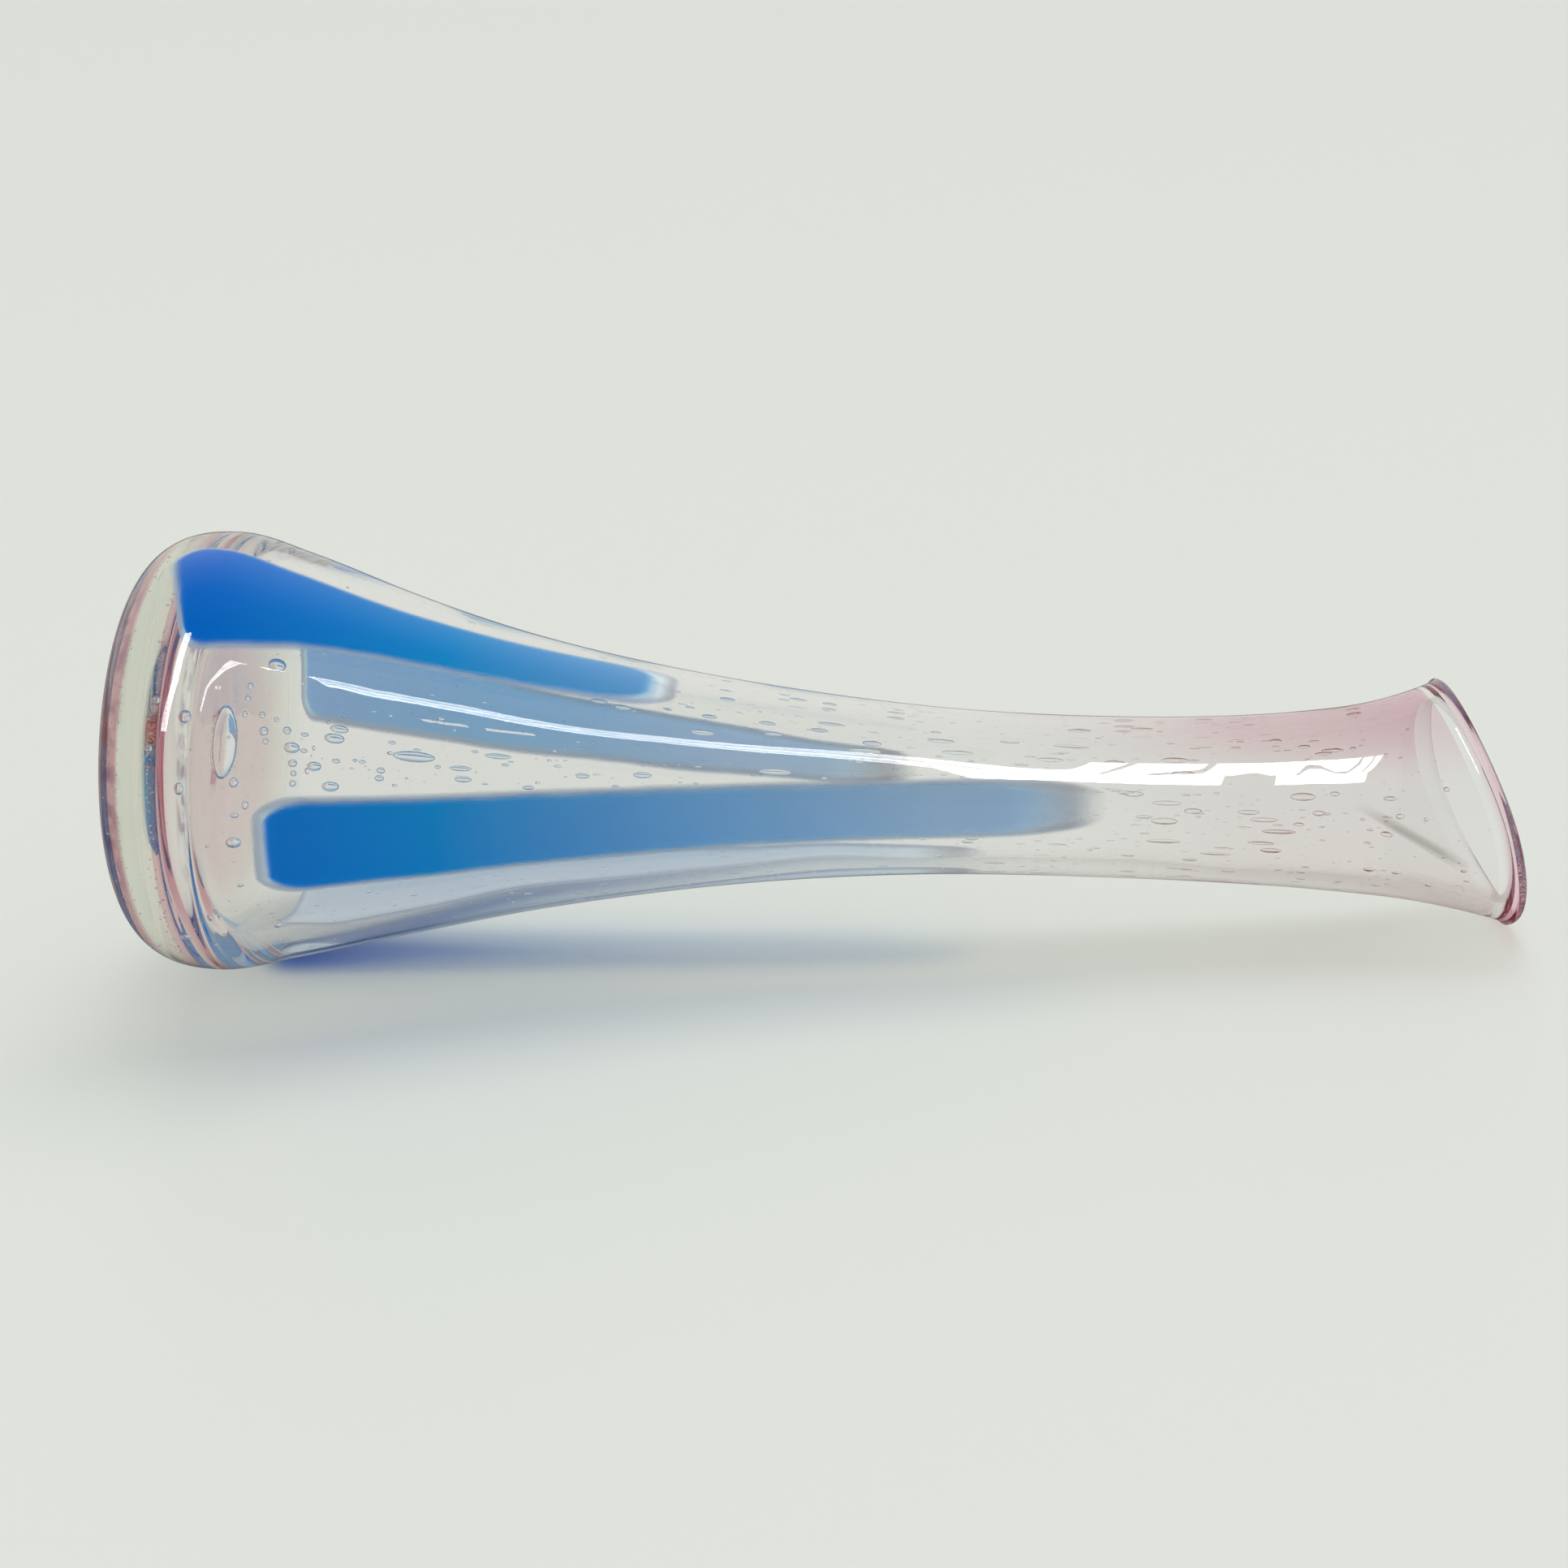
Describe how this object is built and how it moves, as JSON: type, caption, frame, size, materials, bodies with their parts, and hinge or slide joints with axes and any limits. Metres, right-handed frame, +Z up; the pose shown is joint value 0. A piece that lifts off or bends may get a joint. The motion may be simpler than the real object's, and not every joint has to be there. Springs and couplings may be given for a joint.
{
  "type": "swung glass vase",
  "caption": "Tall clear glass vase with a wide rounded belly, thick base, long drawn-out neck, tilted flared mouth, blue streaks in milky beds and a pink lip.",
  "frame": {"origin": "the middle of the underside, on the surface that the foot stands on", "axes": "+Z up the vase to the mouth; the rim is highest towards +X and lowest towards -X; -Y is the side that the picture shows"},
  "size_m": [0.1154, 0.1154, 0.362],
  "materials": {
    "clear_glass": "fire-polished, with seed bubbles",
    "pink_glass": "fire-polished, thin and pale",
    "deep_pink_glass": "fire-polished",
    "blue_glass": "glossy, pressed flush with the skin",
    "opal_glass": "milky, glossy"
  },
  "bodies": {
    "root": {"casing": "clear_glass", "lining": "pink_glass", "lip_wrap": "deep_pink_glass", "blue_streak_1": "blue_glass", "blue_streak_2": "blue_glass", "blue_streak_3": "blue_glass", "blue_streak_4": "blue_glass", "opal_bed_1": "opal_glass", "opal_bed_2": "opal_glass", "opal_bed_3": "opal_glass", "opal_bed_4": "opal_glass"}
  },
  "joints": []
}
